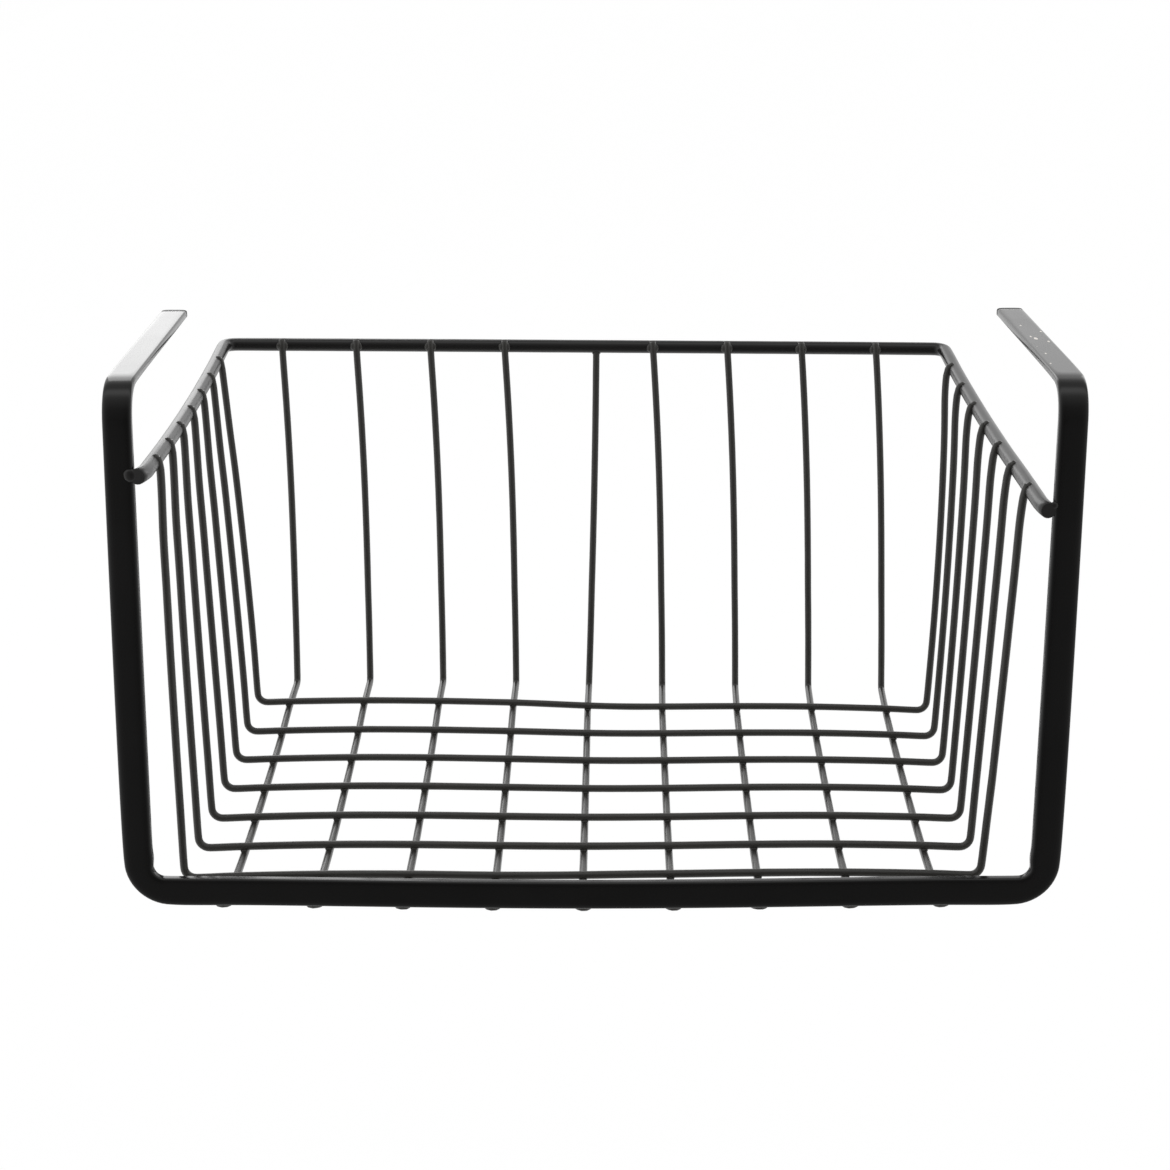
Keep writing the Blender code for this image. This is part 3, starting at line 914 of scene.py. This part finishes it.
    def tighten(self, run: list[Vector]) -> list[Vector]:
        """Return a run whose rear bend is drawn tighter about the same corner.

        Args:
            run: a wire's centreline, from the bar to the rim.

        Returns:
            The run with the bend's points replaced.
        """
        turn = max(range(1, len(run) - 1), key=lambda index: min(
            run[index].y - run[index - 1].y, run[index + 1].z - run[index].z))
        near = next(index for index in range(turn, 0, -1)
                    if (run[index] - run[turn]).length > self.packed_reach)
        far = next(index for index in range(turn, len(run))
                   if (run[index] - run[turn]).length > self.packed_reach)
        ahead = (run[near] - run[near - 1]).normalized()
        down = (run[far] - run[far + 1]).normalized()
        span = run[far] - run[near]
        slope = ahead.dot(down)
        along = (span.dot(ahead) - slope * span.dot(down)) / (1 - slope * slope)
        corner = run[near] + ahead * along
        start, end = corner - ahead * self.tight_reach, corner - down * self.tight_reach
        bend = []
        for step in range(self.tight_steps + 1):
            share = step / self.tight_steps
            bend.append(start.lerp(corner, share).lerp(corner.lerp(end, share), share))
        return smooth_run([*run[:near + 1], *bend, *run[far:]], self.step)

    def cross_wire(self, number: int, material: bpy.types.Material) -> list[Vector]:
        """Build one cross wire, its tops pressed into the rim, and return its run."""
        node = f"cross_wire_{number + 1}"
        run = smooth_run(centreline(self.packed.nodes[node]), self.step)
        if run[0].x > run[-1].x:
            run.reverse()
        self.raise_floor(run)
        if number == 0:
            corner = max(run, key=lambda spot: spot.x - spot.z)
            for spot in run:
                rise = max(spot.z - corner.z, 0) / (run[-1].z - corner.z)
                if spot.x > 0:
                    spot.x += self.first_right_shift * min(4 * rise, 1)
        for side in (Side.RIGHT, Side.LEFT):
            outwards = Vector((side.value, 0, 0))
            choice = 1 if side is Side.RIGHT else 0
            press_end(run, outwards * self.lean[choice], self.lean_reach[choice])
            press_end(run, outwards * self.hook[choice] - Vector((0, 0, self.side_drop)),
                      self.hook_reach)
            run.reverse()
        self.wire(node, f"round_cross_wire_{number + 1}", run, material)
        return run

    def long_wire(self, index: int, material: bpy.types.Material) -> list[Vector]:
        """Build one lengthwise wire, its top pressed into the rim, and return its run."""
        node = f"lengthwise_wire_{index + 1}"
        run = smooth_run(centreline(self.packed.nodes[node]), self.step)
        if run[0].y > run[-1].y:
            run.reverse()
        self.raise_floor(run)
        self.raise_bend(run)
        run = self.tighten(run)
        if index == self.stray_wire:
            press_end(run, Vector((0, 0, self.rim.radius / self.stray_part)), self.hook_reach)
        else:
            foot, top = min(spot.z for spot in run), run[-1].z
            for spot in run:
                rise = (spot.z - foot) / (top - foot)
                spot.x += self.back_sway * 4 * rise * (1 - rise)
            press_end(run, Vector((-self.back_lean, 0, 0)), self.back_lean_reach)
            press_end(run, Vector((0, self.back_press, 0)), self.back_reach)
        self.wire(node, f"round_long_wire_{index + 1}", run, material)
        return run

    def wire(self, node: str, name: str, run: list[Vector],
             material: bpy.types.Material) -> None:
        """Build and place one wire.

        Args:
            node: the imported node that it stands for.
            name: the new piece's name.
            run: its centreline.
            material: the enamel.
        """
        piece = bpy.data.objects.new(name, RoundWire(self.radius).mesh(name, run))
        self.packed.place(piece, material, Slot.WIRE, node)

    def weld_crossings(self, cross_runs: list[list[Vector]], long_runs: list[list[Vector]],
                       material: bpy.types.Material) -> None:
        """Add the weld metal where the wires cross on the floor."""
        beads = WeldMetal("floor_welds")
        for cross in cross_runs:
            depth = min(cross, key=lambda spot: spot.z).y
            for lengthwise in long_runs:
                near = min(lengthwise[:-self.wall_points],
                           key=lambda spot: abs(spot.y - depth))
                over = nearest_point(cross, near)
                under = nearest_point(lengthwise, over)
                beads.bead((under + over) / 2 + self.crossing_shift, self.crossing_size,
                           self.crossing_corner_share)
        self.packed.place(beads.piece(), material, Slot.WIRE)

    def weld_rim(self, cross_runs: list[list[Vector]], long_runs: list[list[Vector]],
                 material: bpy.types.Material) -> None:
        """Add the weld metal where the wires end at the rim."""
        beads = WeldMetal("rim_welds")
        for cross in cross_runs:
            for end in (cross[0], cross[-1]):
                rim = self.rim.nearest(end)
                middle = end.lerp(rim, self.side_cap_share)
                middle.z = rim.z + self.side_cap_rise
                beads.bead(middle, self.side_cap)
        for index, lengthwise in enumerate(long_runs):
            end = lengthwise[-1]
            rim = self.rim.nearest(end)
            if index == self.stray_wire:
                beads.bead(rim - Vector((0, 0, self.rim.radius)), self.stray_cap)
                continue
            beads.bead(Vector((end.x, rim.y - self.back_cap_ahead, rim.z)), self.back_cap)
            tip = Vector((end.x, rim.y - self.back_tip_ahead,
                          rim.z + self.rim.radius - self.back_tip.z / 2))
            beads.bead(tip, self.back_tip)
        self.packed.place(beads.piece(), material, Slot.WIRE)

    def weld_bar(self, long_runs: list[list[Vector]], material: bpy.types.Material) -> None:
        """Add the weld metal where the lengthwise wires meet the bar."""
        beads = WeldMetal("bar_welds")
        for lengthwise, shift in zip(long_runs, self.bar_bead_shifts):
            middle = lengthwise[0] + Vector((shift, -self.bar_bead_ahead,
                                             self.bar_bead.z - self.radius))
            beads.bead(middle, self.bar_bead)
        self.packed.place(beads.piece(), material, Slot.WIRE)


@dataclass(frozen=True)
class SoftBox:
    """A soft box that stands at a place and faces the aim.

    Its size is its width and height, and its brightness is 1 for white paper in full light.
    """

    name: str
    place: tuple[float, float, float]
    aim: tuple[float, float, float]
    size: tuple[float, float]
    brightness: float

    def build(self) -> None:
        """Put the soft box in the scene, unseen by the camera."""
        lamp = bpy.data.lights.new(self.name, "AREA")
        lamp.shape = "RECTANGLE"
        lamp.size, lamp.size_y = self.size
        lamp.energy = math.pi * self.size[0] * self.size[1] * self.brightness
        box = bpy.data.objects.new(self.name, lamp)
        bpy.context.scene.collection.objects.link(box)
        box.location = self.place
        facing = Vector(self.aim) - Vector(self.place)
        box.rotation_euler = facing.to_track_quat("-Z", "Y").to_euler()
        box.visible_camera = False


@dataclass
class Studio:
    """A white sweep under and behind the basket, and a pale surround with a dim front."""

    floor_drop: float = 0.30
    front_edge: float = 0.02
    half_width: float = 1.6
    back: float = 1.5
    bend: float = 0.4
    top: float = 1.5
    bend_steps: int = 12
    # How bright the surround shows in the enamel, by angle: from straight ahead at -180
    # degrees under the basket to straight back at 0 and over the top to ahead again.
    mirrored: tuple[tuple[float, float], ...] = (
        (-180, 0.07), (-150, 0.12), (-125, 0.32), (-100, 0.60), (-60, 0.9), (0, 1.10),
        (46, 1.15), (56, 0.65), (69, 0.42), (84, 0.45), (97, 1.10), (105, 1.10), (112, 0.80),
        (122, 0.46), (135, 0.33), (155, 0.14), (180, 0.07))
    left_glow: float = 1.1
    right_glow: float = 0.7
    side_blend: float = 0.1
    soft_boxes: tuple[SoftBox, ...] = (
        SoftBox("soft_box_back_left", (-0.46, 1.25, 0.85), (-0.194, -0.05, 0.24),
                (0.56, 1.40), 1.45),
        SoftBox("soft_box_back_right", (1.05, 1.10, 0.65), (0.0, 0.0, 0.10),
                (0.70, 1.20), 1.1))
    camera_place: tuple[float, float, float] = (0.005957, -1.133694, 0.448590)
    camera_turn: tuple[float, float, float] = (73.1954, 0.2174, 0.4465)
    lens: float = 76.92
    sensor_width: float = 36
    clip_start: float = 0.01

    def build(self) -> None:
        """Set up the sweep, the surround, the lamps, the camera and the view."""
        self.sweep()
        self.surround()
        for soft_box in self.soft_boxes:
            soft_box.build()
        self.camera()
        scene = bpy.context.scene
        scene.view_settings.view_transform = "Standard"

    def sweep(self) -> None:
        """Build the paper sweep."""
        profile = [Vector((0, self.front_edge, -self.floor_drop)),
                   Vector((0, self.back - self.bend, -self.floor_drop))]
        centre = Vector((0, self.back - self.bend, self.bend - self.floor_drop))
        for step in range(1, self.bend_steps + 1):
            turn = math.pi / 2 * step / self.bend_steps
            profile.append(centre + Vector((0, math.sin(turn), -math.cos(turn))) * self.bend)
        profile.append(Vector((0, self.back, self.top)))
        build = bmesh.new()
        rows = [[build.verts.new(spot + Vector((side * self.half_width, 0, 0)))
                 for spot in profile] for side in (-1, 1)]
        for left, right, far_left, far_right in zip(rows[0], rows[1], rows[0][1:],
                                                    rows[1][1:]):
            build.faces.new((left, right, far_right, far_left)).smooth = True
        mesh = bpy.data.meshes.new("paper_sweep")
        build.to_mesh(mesh)
        build.free()
        sheet = bpy.data.objects.new("paper_sweep", mesh)
        bpy.context.scene.collection.objects.link(sheet)
        mesh.materials.append(StudioPaper().material())
        sheet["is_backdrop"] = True

    def surround(self) -> None:
        """Make the surround: plain white light, and a shaded studio in the reflections."""
        world = bpy.data.worlds.new("white_surround")
        bpy.context.scene.world = world
        world.use_nodes = True
        tree = world.node_tree
        tree.nodes.clear()
        way = add_node(tree, "ShaderNodeTexCoord").outputs["Generated"]
        parts = add_node(tree, "ShaderNodeSeparateXYZ", None, {0: way})
        angle = add_node(tree, "ShaderNodeMath", {"operation": "ARCTAN2"},
                         {0: parts.outputs["Z"], 1: parts.outputs["Y"]})
        place = add_node(tree, "ShaderNodeMapRange", {"From Min": -math.pi, "From Max": math.pi},
                         {"Value": angle.outputs[0]})
        ramp = add_node(tree, "ShaderNodeValToRGB", None, {0: place.outputs["Result"]})
        stops = ramp.color_ramp.elements
        while len(stops) > 1:
            stops.remove(stops[-1])
        for number, (degrees, brightness) in enumerate(self.mirrored):
            stop = stops[0] if number == 0 else stops.new((degrees + 180) / 360)
            stop.position = (degrees + 180) / 360
            stop.color = (brightness, brightness, brightness, 1)
        side = add_node(tree, "ShaderNodeMapRange",
                        {"From Min": -self.side_blend, "From Max": self.side_blend,
                         "To Min": self.left_glow, "To Max": self.right_glow},
                        {"Value": parts.outputs["X"]})
        aside = add_node(tree, "ShaderNodeMath", {"operation": "MULTIPLY"},
                         {0: parts.outputs["X"], 1: parts.outputs["X"]})
        shaded = add_node(tree, "ShaderNodeMix", {"data_type": "FLOAT"},
                          {"Factor": aside.outputs[0], 2: ramp.outputs["Color"],
                           3: side.outputs["Result"]})
        light = add_node(tree, "ShaderNodeLightPath")
        strength = add_node(tree, "ShaderNodeMix", {"data_type": "FLOAT", 2: 1.0},
                            {"Factor": light.outputs["Is Glossy Ray"],
                             3: shaded.outputs[0]})
        glow = add_node(tree, "ShaderNodeBackground", {"Color": (1, 1, 1, 1)},
                        {"Strength": strength.outputs[0]})
        add_node(tree, "ShaderNodeOutputWorld", None, {"Surface": glow.outputs[0]})

    def camera(self) -> None:
        """Create the camera at the photographed view."""
        data = bpy.data.cameras.new("camera")
        data.lens = self.lens
        data.sensor_width = self.sensor_width
        data.clip_start = self.clip_start
        view = bpy.data.objects.new("camera", data)
        bpy.context.scene.collection.objects.link(view)
        view.location = self.camera_place
        view.rotation_euler = Euler([math.radians(angle) for angle in self.camera_turn])
        bpy.context.scene.camera = view


def main() -> None:
    """Build the dressed basket and its studio."""
    logging.basicConfig(level=logging.INFO, format="%(name)s: %(message)s")
    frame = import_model()
    box = [list(corner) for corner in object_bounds()]
    packed = Packed(frame["nodes"], Vector(box[0]), Vector(box[1]))
    FrontFrame(packed).dress()
    rim = Rim(packed)
    rim.dress()
    WireBody(packed, rim).dress()
    Studio().build()


if __name__ == "__main__":
    main()
